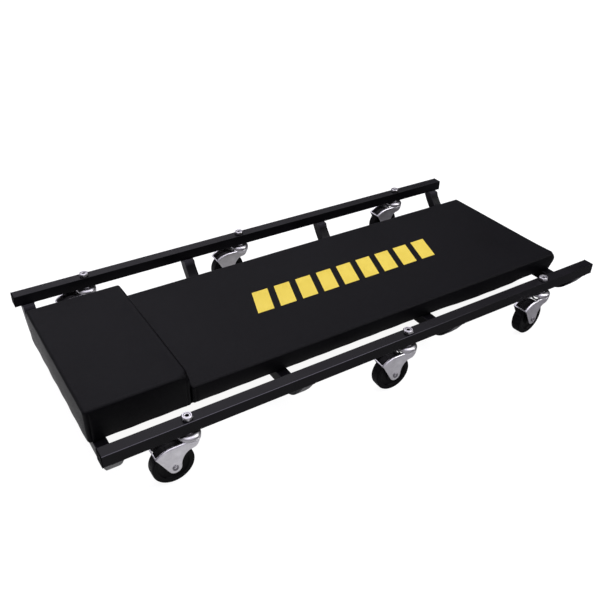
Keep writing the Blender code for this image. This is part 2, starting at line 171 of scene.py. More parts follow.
def round_rectangle(half_u, half_v, corner, steps):
    """(u, v) points of a rectangle with rounded corners about the origin, anticlockwise."""
    points = []
    for number, (side_u, side_v) in enumerate(((1, 1), (-1, 1), (-1, -1), (1, -1))):
        centre = (side_u * (half_u - corner), side_v * (half_v - corner))
        start = number * math.pi / 2
        points += arc(centre, corner, start, start + math.pi / 2, steps)
    return points


def moved(built, matrix):
    bmesh.ops.transform(built, matrix=matrix, verts=built.verts)
    return built


def across(built):
    """Turns a solid made about +Z to lie about +Y."""
    return moved(built, Matrix.Rotation(-math.pi / 2, 4, "X"))


def mesh_from(built, name="part"):
    """The mesh of a bmesh, which it uses up."""
    mesh = bpy.data.meshes.new(name)
    built.to_mesh(mesh)
    built.free()
    return mesh


def merged(parts):
    """One bmesh holding all of these, which it uses up."""
    whole = bmesh.new()
    for part in parts:
        mesh = mesh_from(part)
        whole.from_mesh(mesh)
        bpy.data.meshes.remove(mesh)
    return whole


def mesh_of(name, built, angle=35.0):
    """The mesh of a bmesh, shaded smooth up to an angle in degrees."""
    mesh = mesh_from(built, name)
    mesh.shade_smooth()
    mesh.set_sharp_from_angle(angle=math.radians(angle))
    return mesh


def placed(name, data):
    """A new object in the scene."""
    made = bpy.data.objects.new(name, data)
    bpy.context.scene.collection.objects.link(made)
    return made


def evaluated(name, mesh, modifiers):
    """The mesh that these modifiers make of a mesh. Each is (type, settings)."""
    holder = placed("holder", mesh)
    for kind, settings in modifiers:
        modifier = holder.modifiers.new(kind.lower(), kind)
        for key, value in settings.items():
            setattr(modifier, key, value)
    graph = bpy.context.evaluated_depsgraph_get()
    made = bpy.data.meshes.new_from_object(holder.evaluated_get(graph))
    made.name = name
    bpy.data.objects.remove(holder)
    return made


def cut(solid, tool):
    """The first bmesh with the second cut out of it. It uses up both."""
    meshes = [mesh_from(solid), mesh_from(tool)]
    cutter = placed("cutter", meshes[1])
    made = evaluated("result", meshes[0], [("BOOLEAN", {"object": cutter, "operation": "DIFFERENCE"})])
    bpy.data.objects.remove(cutter)
    result = bmesh.new()
    result.from_mesh(made)
    for mesh in (*meshes, made):
        bpy.data.meshes.remove(mesh)
    return result


def middle(node):
    """The middle of a CAD node's box."""
    return [(low + high) / 2 for low, high in zip(*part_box(node))]


def piece(name, mesh, finish, replaces=(), matrix=None, body="frame"):
    """A visible piece of the object, riding on a body."""
    material, slot = FINISHES[finish]
    if not mesh.materials:
        mesh.materials.append(material)
    made = placed(name, mesh)
    if matrix is not None:
        made.matrix_world = matrix
    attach(made, body)
    if replaces:
        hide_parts(*replaces)
    return made


# Materials

class Nodes:
    """A node tree, with ways to add to it."""

    def __init__(self, tree):
        self.tree = tree

    def add(self, kind, links=(), **values):
        """A node with its settings. A value is an input's, or a property's where no input has that name."""
        made = self.tree.nodes.new("ShaderNode" + kind)
        for key, value in values.items():
            label = key.replace("_", " ").title()
            if label in made.inputs:
                made.inputs[label].default_value = value
            else:
                setattr(made, key, value)
        for socket, source in links:
            self.tree.links.new(source, made.inputs[socket])
        return made

    def axes(self, vector):
        return self.add("SeparateXYZ", [("Vector", vector)]).outputs

    def ranged(self, source, low=0.0, high=1.0, start=0.3, end=0.7):
        """source between start and end, spread to low to high."""
        return self.add("MapRange", [("Value", source)], from_min=start, from_max=end, to_min=low,
                        to_max=high).outputs["Result"]

    def mixed(self, factor, first, second):
        """A colour between two, by a factor. Each is a colour or a socket."""
        made = self.add("Mix", [("Factor", factor)], data_type="RGBA")
        for socket, value in ((made.inputs[6], first), (made.inputs[7], second)):
            if isinstance(value, tuple):
                socket.default_value = (*value, 1.0)
            else:
                self.tree.links.new(value, socket)
        return made.outputs[2]

    def total(self, first, second, operation="ADD", share=None):
        """first and second combined, with second times share where that is given."""
        if share is not None:
            scaled = self.add("Math", [(0, second)], operation="MULTIPLY")
            scaled.inputs[1].default_value = share
            second = scaled.outputs[0]
        return self.add("Math", [(0, first), (1, second)], operation=operation).outputs[0]

    def product(self, first, second):
        return self.total(first, second, "MULTIPLY")


class Finish(Nodes):
    """A material under construction. Its patterns lie in the metres of the piece that wears it."""

    def __init__(self, name, color, roughness, metallic=0.0, specular=0.5):
        self.material = bpy.data.materials.new(name)
        self.material.use_nodes = True
        super().__init__(self.material.node_tree)
        self.shader = self.tree.nodes["Principled BSDF"]
        for socket, value in (("Base Color", (*color, 1.0)), ("Roughness", roughness), ("Metallic", metallic),
                              ("Specular IOR Level", specular)):
            self.shader.inputs[socket].default_value = value
        self.place = self.add("TexCoord").outputs["Object"]

    def drive(self, socket, source):
        self.tree.links.new(source, self.shader.inputs[socket])

    def stretched(self, scale):
        return self.add("Mapping", [("Vector", self.place)], scale=scale).outputs["Vector"]

    def noise(self, scale, detail=3.0, roughness=0.55, stretch=None):
        place = self.stretched(stretch) if stretch else self.place
        return self.add("TexNoise", [("Vector", place)], scale=scale, detail=detail,
                        roughness=roughness).outputs["Fac"]

    def bump(self, height, distance):
        made = self.add("Bump", [("Height", height)], strength=1.0, distance=distance)
        self.drive("Normal", made.outputs["Normal"])


def painted_edge_highlight(finish):
    """Painted highlight: 1 along the rails' outer top edges towards the head end, fading out past the middle."""
    facing = finish.axes(finish.add("TexCoord").outputs["Normal"])
    spot = finish.axes(finish.place)
    up = finish.ranged(facing["Z"], 0.0, 1.0, 0.0, 1.0)
    outward = finish.product(finish.product(up, facing["Y"]), spot["Y"])
    along = finish.ranged(spot["X"], 1.0, 0.0, -0.05, 0.20)
    return finish.product(finish.ranged(outward, 0.0, 1.0, 0.045, 0.085), along)


def powder_coat(name, outer=False):
    """Semi-gloss black with the fine pebble of a baked powder, duller in patches, and lighter at the edges:
    rubbed paint and painted highlight at the sharp edges, only painted highlight along the rails' outer top
    edges.
    """
    finish = Finish(name, (0.0036, 0.0033, 0.0044), 0.30, specular=0.11)
    patches = finish.noise(26.0, 4.0)
    pebble = finish.noise(950.0, 2.0, 0.5)
    grit = finish.noise(3800.0, 1.0, 0.5)
    if outer:
        # outer=True: a painted highlight along the rails' outer top edges, towards the head end.
        edges = painted_edge_highlight(finish)
    else:
        # Lighter at the sharp edges: rubbed paint, and also a painted highlight.
        edges = finish.ranged(finish.add("NewGeometry").outputs["Pointiness"], 0.0, 0.3, 0.505, 0.54)
    shade = finish.mixed(finish.ranged(patches), (0.0030, 0.0027, 0.0038), (0.0052, 0.0047, 0.0064))
    # The light edge colour is a painted highlight, in part rubbed paint.
    finish.drive("Base Color", finish.mixed(edges, shade, (0.115, 0.110, 0.130)))
    finish.drive("Roughness", finish.ranged(patches, 0.25, 0.36))
    finish.bump(finish.total(pebble, grit, share=0.35), 0.00007)
    return finish.material


def vinyl_grain(finish, distance):
    """Pressed leather grain: rounded cells with fine creases between them."""
    warp = finish.add("TexNoise", [("Vector", finish.place)], scale=240.0, detail=2.0)
    shift = finish.add("VectorMath", [(0, warp.outputs["Color"])], operation="SCALE", scale=0.0016)
    spot = finish.add("VectorMath", [(0, finish.place), (1, shift.outputs[0])], operation="ADD")
    cells = finish.add("TexVoronoi", [("Vector", spot.outputs[0])], scale=760.0, feature="DISTANCE_TO_EDGE")
    creases = finish.ranged(cells.outputs["Distance"], 0.0, 1.0, 0.0, 0.22)
    finish.bump(finish.total(creases, finish.noise(2600.0, 2.0), share=0.35), distance)
    return creases


def vinyl():
    """Black upholstery vinyl with a soft sheen."""
    finish = Finish("vinyl", (0.0034, 0.0032, 0.0042), 0.33, specular=0.07)
    creases = vinyl_grain(finish, 0.00010)
    drift = finish.ranged(finish.noise(7.0, 5.0))
    tint = finish.mixed(drift, (0.0026, 0.0025, 0.0033), (0.0042, 0.0040, 0.0052))
    # Darker in the grain's creases: painted shade.
    tint = finish.mixed(finish.ranged(creases, 0.0, 1.0, 0.0, 0.5), (0.0014, 0.0013, 0.0018), tint)
    finish.drive("Base Color", tint)
    finish.drive("Roughness", finish.ranged(finish.noise(14.0, 3.0), 0.30, 0.37))
    return finish.material


def printed_yellow():
    """Screen-printed yellow ink over the vinyl's grain, with pinholes where it missed a crease."""
    finish = Finish("printed_yellow", (0.80, 0.63, 0.09), 0.52, specular=0.20)
    creases = vinyl_grain(finish, 0.00008)
    drift = finish.ranged(finish.noise(30.0, 4.0))
    ink = finish.mixed(drift, (0.77, 0.60, 0.075), (0.84, 0.67, 0.105))
    pinholes = finish.ranged(finish.noise(900.0, 1.0), 0.0, 1.0, 0.24, 0.30)
    ink = finish.mixed(pinholes, (0.30, 0.22, 0.03), ink)
    # Darker ink in the grain's creases: painted shade.
    ink = finish.mixed(finish.ranged(creases, 0.0, 1.0, 0.0, 0.35), (0.60, 0.44, 0.045), ink)
    finish.drive("Base Color", ink)
    return finish.material


def plated(name, light, dark, smooth, rough, grain=0.00002):
    """Plated steel: cloudy passivation, a fine rolled grain and faint handling marks."""
    finish = Finish(name, light, smooth, 1.0)
    clouds = finish.noise(70.0, 5.0, 0.6)
    rolled = finish.noise(420.0, 3.0, stretch=(1.0, 1.0, 9.0))
    marks = finish.ranged(finish.noise(260.0, 2.0, stretch=(1.0, 6.0, 1.0)), 0.0, 1.0, 0.60, 0.72)
    finish.drive("Base Color", finish.mixed(finish.ranged(clouds), dark, light))
    finish.drive("Roughness", finish.total(finish.ranged(clouds, smooth, rough), marks, share=0.08))
    finish.bump(finish.total(rolled, finish.noise(2200.0, 2.0), share=0.5), grain)
    return finish.material


def wheel_rubber():
    """Hard black rubber, scuffed and dusty towards the tread."""
    finish = Finish("wheel_rubber", (0.002, 0.002, 0.0025), 0.36, specular=0.09)
    spot = finish.axes(finish.place)
    flat = finish.add("CombineXYZ", [("X", spot["X"]), ("Z", spot["Z"])])
    reach = finish.add("VectorMath", [(0, flat.outputs[0])], operation="LENGTH").outputs["Value"]
    scuffs = finish.noise(320.0, 4.0, 0.65, stretch=(1.0, 0.25, 1.0))
    tread = finish.ranged(reach, 0.0, 1.0, 0.0290, 0.0306)
    dust = finish.product(tread, finish.ranged(scuffs, 0.0, 1.0, 0.42, 0.62))
    finish.drive("Base Color", finish.mixed(dust, (0.0018, 0.0017, 0.0022), (0.0090, 0.0084, 0.0100)))
    finish.drive("Roughness", finish.total(finish.ranged(scuffs, 0.34, 0.46), dust, share=0.16))
    finish.bump(finish.total(scuffs, finish.noise(1800.0, 2.0), share=0.4), 0.00006)
    return finish.material


def moulded(name, light, dark, roughness, specular):
    """Moulded plastic with the fine spark texture of its tool."""
    finish = Finish(name, light, roughness, specular=specular)
    flow = finish.noise(90.0, 3.0)
    finish.drive("Base Color", finish.mixed(finish.ranged(flow), dark, light))
    finish.drive("Roughness", finish.ranged(flow, roughness - 0.06, roughness + 0.06))
    finish.bump(finish.noise(2400.0, 2.0), 0.00004)
    return finish.material


def plywood():
    """Rotary-cut veneer along X, with darker late wood, pores and a few pin knots."""
    finish = Finish("plywood", (0.50, 0.34, 0.19), 0.72, specular=0.3)
    drift = finish.noise(5.0, 4.0, stretch=(1.0, 7.0, 1.0))
    rings = finish.add("TexWave", [("Vector", finish.stretched((0.35, 6.0, 1.0)))], scale=9.0,
                       bands_direction="Y", distortion=9.0, detail=3.0, detail_scale=1.2).outputs["Fac"]
    pores = finish.noise(90.0, 3.0, stretch=(1.0, 28.0, 1.0))
    wood = finish.mixed(rings, (0.36, 0.22, 0.11), (0.56, 0.39, 0.22))
    wood = finish.mixed(finish.ranged(drift, 0.0, 0.6), wood, (0.47, 0.30, 0.16))
    wood = finish.mixed(finish.ranged(pores, 0.0, 0.75, 0.58, 0.72), wood, (0.20, 0.12, 0.06))
    finish.drive("Base Color", wood)
    finish.bump(finish.total(rings, pores, share=0.8), 0.00012)
    return finish.material


def floor_finish():
    """White studio floor: it glows to the eye, and gives the object less light towards the foot end."""
    finish = Finish("studio_floor", (0.18, 0.18, 0.18), 0.65, specular=0.2)
    drift = finish.ranged(finish.noise(1.6, 2.0))
    finish.drive("Base Color", finish.mixed(drift, (0.17, 0.17, 0.17), (0.19, 0.19, 0.19)))
    finish.shader.inputs["Emission Color"].default_value = (1.0, 1.0, 1.0, 1.0)
    lighting = finish.ranged(finish.axes(finish.place)["X"], 0.38, 0.0, -0.40, 0.45)
    seen = finish.add("LightPath").outputs["Is Camera Ray"]
    finish.drive("Emission Strength", finish.total(lighting, seen, "MAXIMUM", share=FLOOR_GLOW))
    return finish.material


# Each finish is a material and its slot's name; the slot name is not used.
FINISHES = {
    "powder_coat": (powder_coat("powder_coat"), "powder_coat"),
    "rail_coat_painted_highlight": (powder_coat("rail_coat_painted_highlight", outer=True), "powder_coat"),
    "vinyl": (vinyl(), "vinyl"),
    "print": (printed_yellow(), "vinyl"),
    "zinc": (plated("zinc_plate", (0.95, 0.935, 0.97), (0.70, 0.685, 0.72), 0.28, 0.40, 0.000012), "zinc"),
    "nut": (plated("bright_zinc", (0.64, 0.63, 0.65), (0.48, 0.47, 0.49), 0.26, 0.36, 0.000006), "zinc"),
    "chrome": (plated("race_plate", (0.66, 0.65, 0.67), (0.52, 0.51, 0.53), 0.26, 0.34, 0.000003), "chrome"),
    "steel": (plated("rivet_steel", (0.42, 0.41, 0.43), (0.24, 0.23, 0.25), 0.28, 0.42), "steel"),
    "tyre": (wheel_rubber(), "tyre"),
    "nylon": (moulded("hub_plastic", (0.020, 0.020, 0.022), (0.012, 0.012, 0.013), 0.46, 0.30), "nylon"),
    "plug": (moulded("plug_plastic", (0.0030, 0.0029, 0.0034), (0.0018, 0.0017, 0.0021), 0.55, 0.02), "plug"),
    "plywood": (plywood(), "plywood"),
}


# Frame

def tube_section():
    """(u, v) points round the square tube, with a pair on each flat just inside its rounded corners."""
    corners = round_rectangle(TUBE / 2, TUBE / 2, TUBE_CORNER, CORNER_STEPS)
    share = CORNER_MARGIN / (TUBE - 2 * TUBE_CORNER)
    section = []
    for (u, v), (next_u, next_v) in neighbours(corners):
        section.append((u, v))
        if math.dist((u, v), (next_u, next_v)) > TUBE / 2:
            for part in (share, 1 - share):
                section.append((u + (next_u - u) * part, v + (next_v - v) * part))
    return section


def tube_rings(stations, pinch=None):
    """Rings of the square tube's outside. A station is (centre, u direction, v direction)."""
    section = tube_section()
    rings = []
    for index, (centre, along_u, along_v) in enumerate(stations):
        depth = pinch[index] if pinch else 0.0
        points = []
        for u, v in section:
            # A bend draws the tube's inner wall in and pushes its side walls out.
            inner = max(0.0, v / (TUBE / 2)) * depth * (1 - abs(u) / (TUBE / 2))
            outward = depth * 0.35 * (u / (TUBE / 2)) * (1 - abs(v) / (TUBE / 2))
            points.append(centre + along_u * (u + outward) + along_v * (v - inner))
        rings.append(points)
    return rings


def make_rails():
    for side_name, _ in SIDES:
        low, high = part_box(f"rail_{side_name}")
        _, y, z = middle(f"rail_{side_name}")
        places = [low[0], low[0] + CORNER_MARGIN, *np.linspace(low[0], high[0], 41)[1:-1],
                  high[0] - CORNER_MARGIN, high[0]]
        stations = [(Vector((x, y, z)), Vector((0, 1, 0)), Vector((0, 0, 1))) for x in places]
        mesh = mesh_of("rail_tube", loft(tube_rings(stations)), 50)
        piece(f"rail_tube_{side_name}", mesh, "rail_coat_painted_highlight", [f"rail_{side_name}"])


def plug_mesh():
    """A plug's flange with a soft outer edge and a shallow dished face, towards +X from x = 0."""
    half = TUBE / 2 + PLUG_PROUD
    rings = []
    for x, inset in ((-0.010, 0.0034), (0.0001, 0.0030), (0.0001, 0.0002), (0.0004, 0.0), (0.0008, 0.0001),
                     (0.0012, 0.0006), (0.0014, 0.0014), (0.0012, 0.0034), (0.0010, 0.0058)):
        corner = max(TUBE_CORNER - inset * 0.7, 0.0008)
        outline = round_rectangle(half - inset, half - inset, corner, CORNER_STEPS)
        rings.append([Vector((x, u, v)) for u, v in outline])
    return mesh_of("plug", loft(rings), 40)


def make_plugs():
    mesh = plug_mesh()
    for side_name, _ in SIDES:
        for end_name, end in ENDS:
            low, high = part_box(f"rail_{side_name}")
            _, y, z = middle(f"rail_{side_name}")
            spot = Matrix.Translation((high[0] if end > 0 else low[0], y, z))
            turn = Matrix.Rotation(math.pi if end < 0 else 0.0, 4, "Z")
            piece(f"plug_{side_name}_{end_name}", mesh, "plug", [f"end_plug_{side_name}_{end_name}"],
                  spot @ turn)


def cross_path(low, high, rail_bottom):
    """(centre, normal, bend) of the near half of a cross member, from the rail to the middle, in YZ."""
    level = low[2] + TUBE / 2
    end = Vector((low[1] + TUBE / 2 / math.sin(LEG_ANGLE), rail_bottom))
    seat = end + Vector((LEG_SET_IN, 0))
    corner = Vector((end.x + (end.y - level) / math.tan(LEG_ANGLE), level))
    tangent = BEND_RADIUS * math.tan(LEG_ANGLE / 2)
    path = [(seat, Vector((1 / math.sin(LEG_ANGLE), 0)), 0.0)]
    centre = corner + Vector((tangent, BEND_RADIUS))
    first = centre + Vector((-math.sin(LEG_ANGLE), -math.cos(LEG_ANGLE))) * BEND_RADIUS
    normal = Vector((math.sin(LEG_ANGLE), math.cos(LEG_ANGLE)))
    path.append((end.lerp(first, 0.55), normal, 0.0))
    for step in range(BEND_STEPS + 1):
        share = step / BEND_STEPS
        turn = LEG_ANGLE * (1 - share)
        normal = Vector((math.sin(turn), math.cos(turn)))
        path.append((centre - normal * BEND_RADIUS, normal, math.sin(math.pi * share)))
    return path


def cross_mesh(low, high, rail_bottom):
    near = cross_path(low, high, rail_bottom)
    far = [(Vector((-p.x, p.y)), Vector((-n.x, n.y)), bend) for p, n, bend in near]
    path = near + far[::-1]
    stations = [(Vector((0, *p)), Vector((1, 0, 0)), Vector((0, *n))) for p, n, _ in path]
    return mesh_of("cross_tube", loft(tube_rings(stations, [b * BEND_PINCH for _, _, b in path])), 50)


def weld_mesh(low, rail_low, rail_high):
    """A weld bead round the near leg's end, in the corner between it and the rail's underside."""
    step_length, ripple_pitch, sides = 0.0007, 0.0014, 10
    outer = low[1] + LEG_SET_IN
    inner = rail_high[1] + 0.0012
    half = (inner - outer) / 2
    centre_v = (inner + outer) / 2
    outline = round_rectangle(TUBE / 2 + 0.0002, half, 0.0030, 6)
    path = []
    for (u, v), (next_u, next_v) in neighbours(outline):
        steps = max(1, round(math.dist((u, v), (next_u, next_v)) / step_length))
        for step in range(steps):
            share = step / steps
            path.append((u + (next_u - u) * share, v + (next_v - v) * share))
    rings = []
    travelled = 0.0
    for index, (u, v) in enumerate(path):
        next_u, next_v = path[(index + 1) % len(path)]
        along = Vector((next_u - u, next_v - v, 0)).normalized()
        out = Vector((along.y, -along.x, 0))
        travelled += math.dist((u, v), (next_u, next_v))
        ripple = 1 + 0.10 * math.sin(travelled / ripple_pitch * 2 * math.pi)
        swell = 1 + 0.22 * noise.noise(Vector((u * 160, v * 160, 3.7)))
        radius = WELD_RADIUS * ripple * swell
        centre = Vector((u, centre_v + v, rail_low[2] - 0.0004))
        rings.append([
            centre + out * radius * math.cos(a) + Vector((0, 0, radius * 0.85 * math.sin(a)))
            for a in (2 * math.pi * k / sides for k in range(sides))
        ])
    return mesh_of("weld", loft(rings, closed=True), 60)


def make_cross_members():
    low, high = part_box("cross_member_1")
    rail_low, rail_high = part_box("rail_near")
    tube = cross_mesh(low, high, rail_low[2] - PAD_GAP)
    weld = weld_mesh(low, rail_low, rail_high)
    for number in MEMBERS:
        spot = Matrix.Translation((middle(f"cross_member_{number}")[0], 0, 0))
        piece(f"cross_tube_{number}", tube, "powder_coat", [f"cross_member_{number}"], spot)
        for side_name, side in SIDES:
            turn = Matrix.Rotation(0.0 if side < 0 else math.pi, 4, "Z")
            piece(f"weld_{number}_{side_name}", weld, "powder_coat", matrix=spot @ turn)


# Upholstery

def lattice(low, high, radius, step, extra=()):
    """Grid lines along one axis: close together in the rounded edges, about a step apart between."""
    ends = [radius * (1 - math.tan(math.radians(a))) for a in (45, 34, 23, 12)] + [radius]
    ends += [radius + e for e in extra]
    inner_low, inner_high = low + ends[-1], high - ends[-1]
    count = max(1, round((inner_high - inner_low) / step))
    between = spaced(inner_low, inner_high, count)[1:-1]
    return [low + e for e in ends] + between + [high - e for e in ends[::-1]]


def box_grid(axes):
    """(points, quads) of the surface of a box with grid lines at these values along X, Y and Z."""
    index = {}
    points = []
    quads = []

    def corner(i, j, k):
        if (i, j, k) not in index:
            index[i, j, k] = len(points)
            points.append((axes[0][i], axes[1][j], axes[2][k]))
        return index[i, j, k]

    for axis in range(3):
        first, second = [a for a in range(3) if a != axis]
        for end in (0, len(axes[axis]) - 1):
            for i in range(len(axes[first]) - 1):
                for j in range(len(axes[second]) - 1):
                    quad = []
                    for di, dj in ((0, 0), (1, 0), (1, 1), (0, 1)):
                        spot = [0, 0, 0]
                        spot[axis], spot[first], spot[second] = end, i + di, j + dj
                        quad.append(corner(*spot))
                    quads.append(quad)
    return np.array(points), quads


def rounded(points, low, high, radii_low, radii_high):
    """Moves the points of a box's surface onto its rounded edges, with a radius for each end of each axis."""
    inner_low = low + radii_low
    inner_high = high - radii_high
    nearest = np.clip(points, inner_low, inner_high)
    offset = points - nearest
    radii = np.where(offset < 0, radii_low, radii_high)
    share = offset / radii
    length = np.linalg.norm(share, axis=1, keepdims=True)
    length[length == 0] = 1.0
    return nearest + share / length * radii


class Cushion:
    """One cushion: its box, its free X end, its grid's step and the radius of its near upper foot corner."""

    def __init__(self, name, node_name, free_end, step, corner_reach):
        self.name = name
        self.node = node_name
        self.low, self.high = (np.array(corner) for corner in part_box(node_name))
        self.free_end = free_end
        self.step = step
        self.corner_reach = corner_reach


def free_edge_distance(points, cushion):
    """How far in from the outer sides each point is, in plan. The end against the other cushion isn't one."""
    sides = np.minimum(points[:, 1] - cushion.low[1], cushion.high[1] - points[:, 1])
    if cushion.free_end < 0:
        ends = points[:, 0] - cushion.low[0]
    else:
        ends = cushion.high[0] - points[:, 0]
    return np.minimum(sides, ends)


def cushion_form(cushion, board_top):
    """The cover before it is filled, with the pocket for the board below."""
    low, high = cushion.low.copy(), cushion.high.copy()
    folds = (0.0012, 0.0020, 0.0028, 0.0044, 0.0080)
    xs = lattice(low[0], high[0], EDGE_PLAN, cushion.step, folds)
    ys = lattice(low[1], high[1], EDGE_PLAN, cushion.step, folds)
    zs = lattice(low[2], high[2], EDGE_TOP, 0.006)
    points, quads = box_grid((xs, ys, zs))
    depth = free_edge_distance(points, cushion)
    plan = np.array([EDGE_PLAN, EDGE_PLAN, EDGE_BOTTOM])
    top = np.array([EDGE_PLAN, EDGE_PLAN, EDGE_TOP])
    shaped = rounded(points, low, high, plan, top)
    inside = depth > RIM_WIDTH
    share = (high[2] - shaped[:, 2]) / (high[2] - low[2])
    raised = shaped[:, 2] + share * (board_top + PAD_GAP - low[2])
    shaped[inside, 2] = raised[inside]
    return points, shaped, quads


def free_points(flat, cushion):
    """1 on the parts of the cover that the filling pushes out: the top and the sides, clear of the edges."""
    low, high = cushion.low, cushion.high
    margin = 0.007
    on_top = flat[:, 2] > high[2] - 1e-6
    inner = (
        (flat[:, 0] > low[0] + margin) & (flat[:, 0] < high[0] - margin)
        & (flat[:, 1] > low[1] + margin) & (flat[:, 1] < high[1] - margin)
    )
    on_side = (flat[:, 2] > low[2] + margin) & (flat[:, 2] < high[2] - margin * 0.8)
    corner = (
        np.minimum(flat[:, 0] - low[0], high[0] - flat[:, 0]) < margin
    ) & (np.minimum(flat[:, 1] - low[1], high[1] - flat[:, 1]) < margin)
    return (on_top & inner) | (on_side & ~on_top & ~corner)


def inflated(mesh, pinned):
    """Where the cover's points go when the foam's pressure fills it between its pinned edges."""
    holder = placed("holder", mesh.copy())
    group = holder.vertex_groups.new(name="pinned")
    group.add([int(i) for i in pinned], 1.0, "REPLACE")
    modifier = holder.modifiers.new("cover", "CLOTH")
    settings = modifier.settings
    for key, value in (("quality", 5), ("mass", 0.4), ("tension_stiffness", 25), ("compression_stiffness", 25),
                       ("shear_stiffness", 10), ("bending_stiffness", 2), ("use_pressure", True),
                       ("uniform_pressure_force", 4), ("vertex_group_mass", "pinned")):
        setattr(settings, key, value)
    settings.effector_weights.gravity = 0
    modifier.collision_settings.use_collision = False
    scene = bpy.context.scene
    for number in range(1, CLOTH_FRAMES + 1):
        scene.frame_set(number)
    graph = bpy.context.evaluated_depsgraph_get()
    result = holder.evaluated_get(graph).to_mesh()
    points = np.empty(len(result.vertices) * 3)
    result.vertices.foreach_get("co", points)
    holder.evaluated_get(graph).to_mesh_clear()
    scene.frame_set(1)
    old = holder.data
    bpy.data.objects.remove(holder)
    bpy.data.meshes.remove(old)
    return points.reshape(-1, 3)


def scaled_swell(move, where, most):
    """The moves of some points, scaled so that the largest is most."""
    result = np.zeros_like(move)
    size = np.linalg.norm(move[where], axis=1).max()
    if size > 0:
        result[where] = move[where] * (most / size)
    return result


def smooth_step(values, start, end):
    t = np.clip((values - start) / (end - start), 0.0, 1.0)
    return t * t * (3 - 2 * t)


def cover_detail(flat, shaped, cushion):
    """Small moves of the cover: staple puckers above the lower edge, slack, and the folds at the corners."""
    low, high = cushion.low, cushion.high
    moves = np.zeros_like(shaped)
    for index, (x, y, z) in enumerate(shaped):
        fx, fy, fz = flat[index]
        slack = noise.noise(Vector((x * 9, y * 14, z * 20 + 5)))
        ripple = noise.noise(Vector((x * 32, y * 32, z * 40 + 9)))
        if fz >= high[2] - 1e-6:
            moves[index, 2] += 0.00035 * slack + 0.00012 * ripple
            continue
        height = (fz - low[2]) / (high[2] - low[2])
        pull = math.exp(-height * 5.0)
        on_y_side = abs(fy - low[1]) < 1e-6 or abs(fy - high[1]) < 1e-6
        along = x if on_y_side else y
        pucker = (0.5 + 0.5 * math.cos(along / STAPLE_PITCH * 2 * math.pi)) * pull
        inward = 0.0009 * pucker - 0.0004 * slack - 0.0002 * ripple
        if on_y_side:
            moves[index, 1] += inward if fy < 0 else -inward
        elif abs(fx - low[0]) < 1e-6 or abs(fx - high[0]) < 1e-6:
            moves[index, 0] += inward if fx < (low[0] + high[0]) / 2 else -inward
        # The cover's surplus is folded flat beside each upright corner, on the long side.
        if on_y_side:
            from_end = min(fx - low[0], high[0] - fx) - EDGE_PLAN
            crease = math.exp(-((from_end - 0.0020) / 0.0007) ** 2)
            lap = math.exp(-((from_end - 0.0044) / 0.0016) ** 2)
            depth = (FOLD_DEPTH * crease - 0.0004 * lap) * min(1.0, (1 - height) * 6)
            moves[index, 1] += depth if fy < 0 else -depth
    return moves


def round_top_corner(shaped, cushion):
    """Softens the near upper corner at the foot end, where the foam is cut away or crushed."""
    outward = np.array([1.0, -1.0, 1.0])
    spot = np.array([cushion.high[0], cushion.low[1], cushion.high[2]])
    offset = (shaped - (spot - outward * cushion.corner_reach)) * outward
    beyond = np.clip(offset, 0.0, None)
    length = np.linalg.norm(beyond, axis=1)
    excess = np.clip(length - cushion.corner_reach, 0.0, None) * (offset > 0).all(axis=1)
    safe = np.where(length > 0, length, 1.0)[:, None]
    return -(beyond / safe * excess[:, None] * outward)


def tucked_corner(shaped, cushion):
    """Draws the foot end in below the near corner, and lets the near side sag a little beside it."""
    low, high = cushion.low, cushion.high
    away = np.hypot(shaped[:, 0] - high[0], shaped[:, 1] - low[1])
    height = np.clip((shaped[:, 2] - low[2]) / (high[2] - low[2]), 0.0, 1.0)
    moves = np.zeros_like(shaped)
    tuck = TUCK_DEPTH * smooth_step(1 - height, 0.25, 1.10) - CORNER_PUSH
    moves[:, 0] = -tuck * np.exp(-((away / TUCK_REACH) ** 2))
    near = np.exp(-(((shaped[:, 1] - low[1]) / SAG_WIDTH) ** 2)) * (1 - height)
    span = smooth_step(shaped[:, 0], *SAG_START) * (1 - smooth_step(shaped[:, 0], *SAG_END))
    moves[:, 1] = -SAG_OUT * near * span
    moves[:, 2] = -SAG_DOWN * near * span
    return moves


def make_cushion(cushion, board_top):
    flat, shaped, quads = cushion_form(cushion, board_top)
    mesh = bpy.data.meshes.new(cushion.name)
    mesh.from_pydata(shaped.tolist(), [], quads)
    built = bmesh.new()
    built.from_mesh(mesh)
    bmesh.ops.recalc_face_normals(built, faces=built.faces)
    built.to_mesh(mesh)
    built.free()
    free = free_points(flat, cushion)
    on_top = free & (flat[:, 2] > cushion.high[2] - 1e-6)
    move = inflated(mesh, np.nonzero(~free)[0]) - shaped
    shaped = shaped + scaled_swell(move, on_top, CROWN_RISE)
    shaped = shaped + scaled_swell(move, free & ~on_top, SIDE_SWELL)
    shaped = shaped + round_top_corner(shaped, cushion)
    if cushion.free_end > 0:
        shaped = shaped + tucked_corner(shaped, cushion)
    shaped = shaped + cover_detail(flat, shaped, cushion)
    mesh.vertices.foreach_set("co", shaped.astype(np.float32).ravel())
    mesh.update()
    final = evaluated(cushion.name, mesh, [("SUBSURF", {"levels": 1, "render_levels": 1})])
    final.shade_smooth()
    final.materials.clear()
    made = piece(cushion.name, final, "vinyl", [cushion.node])
    return made


def strip_mesh(outers, inners, thickness):
    """A flat strip in XY between two rows of points."""
    return loft([[Vector((*outer, 0.0)), Vector((*outer, thickness)), Vector((*inner, thickness)),
                  Vector((*inner, 0.0))] for outer, inner in zip(outers, inners)])


